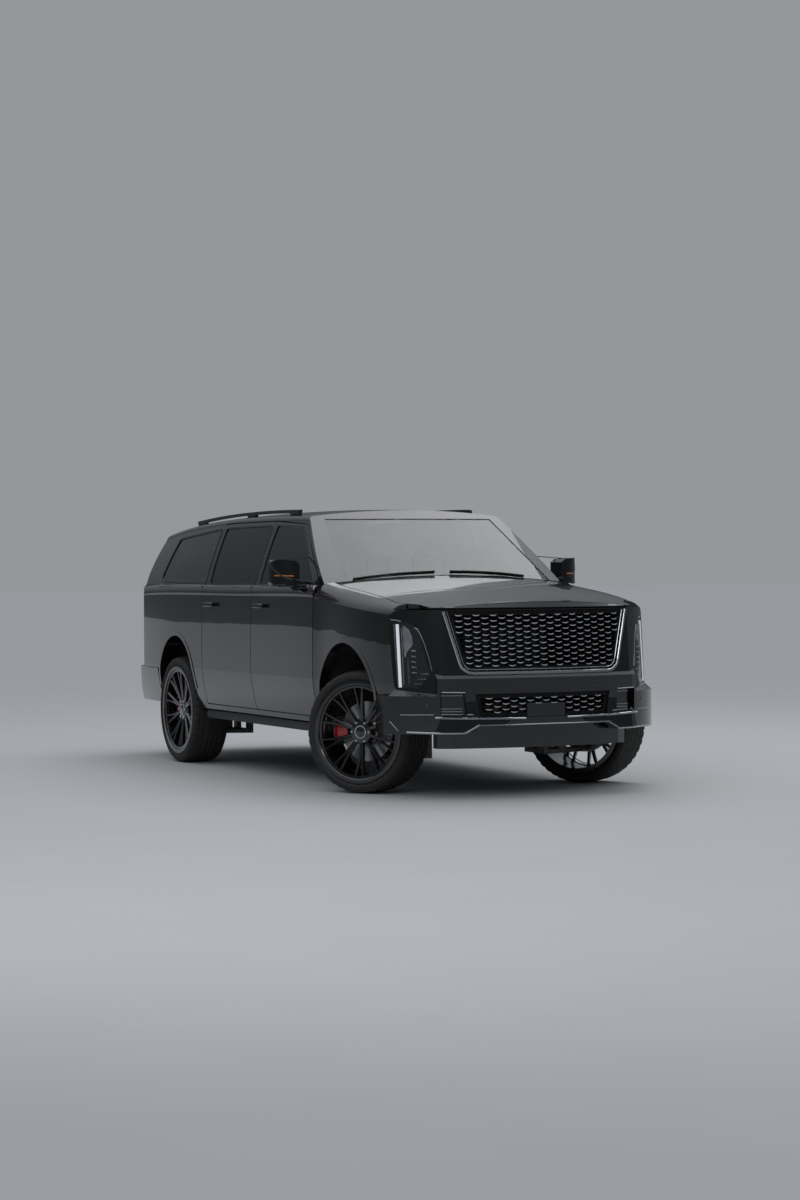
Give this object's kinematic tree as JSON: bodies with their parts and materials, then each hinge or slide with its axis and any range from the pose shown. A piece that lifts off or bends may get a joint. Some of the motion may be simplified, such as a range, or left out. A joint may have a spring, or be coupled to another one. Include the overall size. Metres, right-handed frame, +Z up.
{
  "type": "full-size sport utility vehicle",
  "caption": "Full-size long-wheelbase sport utility vehicle with opening doors, hood and liftgate, steered front wheels and a mesh grille.",
  "frame": {"origin": "on the ground at the middle of the vehicle", "axes": "+X forward, +Y to the left, +Z up"},
  "size_m": [5.7899, 2.4288, 1.9711],
  "materials": {
    "paint": "gloss black paint over steel and aluminium panels",
    "glass": "dark tinted glass",
    "windshield_glass": "lightly tinted laminated glass",
    "grille_black": "gloss black grille with dark bright-edged mesh",
    "lamp": "clear lamp lens over white light guides",
    "tail_lamp": "dark red lamp lens",
    "black_plastic": "grained black plastic",
    "frame_steel": "black frame coating",
    "cast": "cast iron and aluminium, dull",
    "steel": "bare steel tube",
    "rim": "gloss black alloy wheel",
    "tyre": "black rubber",
    "leather": "black leather",
    "trim": "soft dark interior trim",
    "liner": "rough black liner"
  },
  "bodies": {
    "body": {"body_sides": "paint", "roof": "paint", "front_fenders": "paint", "front_bumper": "paint", "rear_bumper": "paint", "engine_and_gearbox": "cast", "driveline": "cast", "suspension": "cast", "fixed_glass": "windshield_glass", "grille": "grille_black", "headlamps": "lamp", "tail_lamps": "tail_lamp", "chassis_frame": "frame_steel", "roof_rails": "black_plastic", "running_boards": "black_plastic", "fuel_tank": "black_plastic", "wheel_liners": "liner", "engine_bay": "liner", "floor_pan": "trim", "dashboard": "trim", "exhaust": "steel", "front_seats": "leather", "second_row_seats": "leather", "third_row_seats": "leather"},
    "front_left_door": {"front_left_door": "paint", "front_left_door_glass": "glass"},
    "front_left_wheel": {"front_left_rim": "rim", "front_left_tyre": "tyre"},
    "front_right_door": {"front_right_door": "paint", "front_right_door_glass": "glass"},
    "front_right_wheel": {"front_right_rim": "rim", "front_right_tyre": "tyre"},
    "rear_left_door": {"rear_left_door": "paint", "rear_left_door_glass": "glass"},
    "rear_left_wheel": {"rear_left_rim": "rim", "rear_left_tyre": "tyre"},
    "rear_right_door": {"rear_right_door": "paint", "rear_right_door_glass": "glass"},
    "rear_right_wheel": {"rear_right_rim": "rim", "rear_right_tyre": "tyre"},
    "front_left_upright": {"front_left_knuckle": "cast"},
    "front_right_upright": {"front_right_knuckle": "cast"},
    "hood": {"hood": "paint"},
    "liftgate": {"liftgate": "paint", "liftgate_glass": "glass"}
  },
  "joints": [
    {"name": "front_left_door_hinge", "type": "hinge", "parent": "body", "child": "front_left_door", "pos_m": [1.3295, 1.032, 1], "axis": [0, 0, -1], "range_deg": [0, 66]},
    {"name": "front_right_door_hinge", "type": "hinge", "parent": "body", "child": "front_right_door", "pos_m": [1.3295, -1.032, 1], "axis": [0, 0, 1], "range_deg": [0, 66]},
    {"name": "rear_left_door_hinge", "type": "hinge", "parent": "body", "child": "rear_left_door", "pos_m": [0.1355, 1.032, 1], "axis": [0, 0, -1], "range_deg": [0, 70]},
    {"name": "rear_right_door_hinge", "type": "hinge", "parent": "body", "child": "rear_right_door", "pos_m": [0.1355, -1.032, 1], "axis": [0, 0, 1], "range_deg": [0, 70]},
    {"name": "hood_hinge", "type": "hinge", "parent": "body", "child": "hood", "pos_m": [1.4525, 0, 1.484], "axis": [0, -1, 0], "range_deg": [0, 50]},
    {"name": "liftgate_hinge", "type": "hinge", "parent": "body", "child": "liftgate", "pos_m": [-2.597, 0, 1.776], "axis": [0, 1, 0], "range_deg": [0, 80]},
    {"name": "left_steering", "type": "hinge", "parent": "body", "child": "front_left_upright", "pos_m": [1.8635, 0.79, 0.4185], "axis": [0, 0, 1], "range_deg": [-68, 2]},
    {"name": "right_steering", "type": "hinge", "parent": "body", "child": "front_right_upright", "pos_m": [1.8635, -0.79, 0.4185], "axis": [0, 0, 1], "range_deg": [-68, 2]},
    {"name": "front_left_wheel_spin", "type": "hinge", "parent": "front_left_upright", "child": "front_left_wheel", "pos_m": [1.81993, 0.85709, 0.4185], "axis": [-0.5446, 0.8387, 0], "continuous": true},
    {"name": "rear_left_wheel_spin", "type": "hinge", "parent": "body", "child": "rear_left_wheel", "pos_m": [-1.5435, 0.87, 0.4185], "axis": [0, 1, 0], "continuous": true},
    {"name": "front_right_wheel_spin", "type": "hinge", "parent": "front_right_upright", "child": "front_right_wheel", "pos_m": [1.90707, -0.85709, 0.4185], "axis": [-0.5446, 0.8387, 0], "continuous": true},
    {"name": "rear_right_wheel_spin", "type": "hinge", "parent": "body", "child": "rear_right_wheel", "pos_m": [-1.5435, -0.87, 0.4185], "axis": [0, 1, 0], "continuous": true}
  ],
  "couplings": [
    {"joint": "right_steering", "follows": "left_steering", "ratio": 1}
  ]
}
